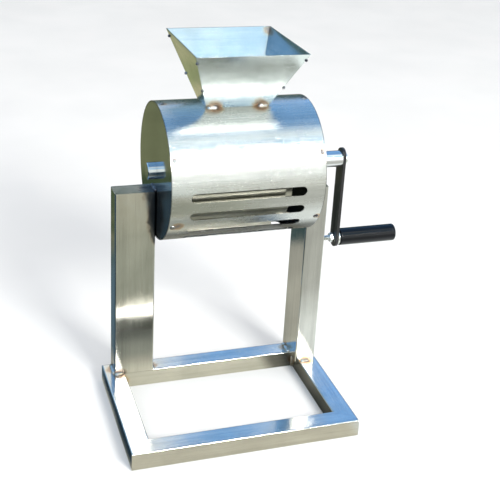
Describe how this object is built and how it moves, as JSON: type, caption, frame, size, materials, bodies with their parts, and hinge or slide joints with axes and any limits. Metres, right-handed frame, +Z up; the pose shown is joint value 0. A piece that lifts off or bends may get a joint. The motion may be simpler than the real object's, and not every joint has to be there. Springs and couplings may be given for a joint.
{
  "type": "hand-cranked fruit crusher",
  "caption": "Hand-cranked drum crusher: a slotted round drum with a square hopper on top, held between rectangular tube uprights on an open base frame.",
  "frame": {"origin": "centre of the whole outline at floor level, under the bounding box", "axes": "+Z up, +X along the drum's axle towards the crank handle, +Y to the rear (the side where the uprights stand)"},
  "size_m": [0.4644, 0.308, 0.54],
  "materials": {
    "brushed_stainless": "brushed stainless tube and sheet with straight grain",
    "polished_stainless": "mirror-polished stainless sheet",
    "weld_metal": "rippled weld bead with straw and brown heat colour",
    "bronze": "plain bronze bush",
    "zinc_plated": "bright zinc-plated fasteners",
    "black_paint": "satin black paint",
    "black_plastic": "glossy black plastic",
    "turned_steel": "bright turned bar"
  },
  "bodies": {
    "stand": {"base_corner_welds": "weld_metal", "base_front_rail": "brushed_stainless", "base_left_rail": "brushed_stainless", "base_rear_rail": "brushed_stainless", "base_right_rail": "brushed_stainless", "drum_shell": "brushed_stainless", "drum_to_upright_welds": "weld_metal", "hopper_corner_tacks": "weld_metal", "hopper_foot_welds": "weld_metal", "hopper_front_panel": "brushed_stainless", "hopper_left_panel": "brushed_stainless", "hopper_rear_panel": "brushed_stainless", "hopper_right_panel": "brushed_stainless", "left_bearing_housing": "brushed_stainless", "left_bush": "bronze", "left_end_disc": "polished_stainless", "left_upright": "brushed_stainless", "left_upright_cap": "brushed_stainless", "right_bearing_housing": "brushed_stainless", "right_bush": "bronze", "right_end_disc": "polished_stainless", "right_upright": "brushed_stainless", "right_upright_cap": "brushed_stainless", "shell_plug_welds": "weld_metal", "upright_foot_welds": "weld_metal"},
    "rotor": {"collar_set_screws": "zinc_plated", "crank_arm": "black_paint", "grip_bolt": "zinc_plated", "grip_nut": "zinc_plated", "grip_washer": "zinc_plated", "hub_bolt": "zinc_plated", "hub_washer": "zinc_plated", "left_shaft_collar": "brushed_stainless", "right_shaft_collar": "brushed_stainless", "rotor_bar_1": "brushed_stainless", "rotor_bar_2": "brushed_stainless", "rotor_bar_3": "brushed_stainless", "rotor_bar_4": "brushed_stainless", "rotor_bar_5": "brushed_stainless", "rotor_bar_6": "brushed_stainless", "rotor_bar_welds": "weld_metal", "rotor_left_plate": "brushed_stainless", "rotor_right_plate": "brushed_stainless", "rotor_shaft": "turned_steel", "rotor_tube": "brushed_stainless"},
    "grip": {"crank_grip": "black_plastic"}
  },
  "joints": [
    {"name": "crank_turn", "type": "hinge", "parent": "stand", "child": "rotor", "pos_m": [-0.04615, 0.054, 0.354], "axis": [1, 0, 0], "continuous": true},
    {"name": "grip_spin", "type": "hinge", "parent": "rotor", "child": "grip", "pos_m": [0.18465, 0.054, 0.222], "axis": [1, 0, 0], "continuous": true}
  ]
}
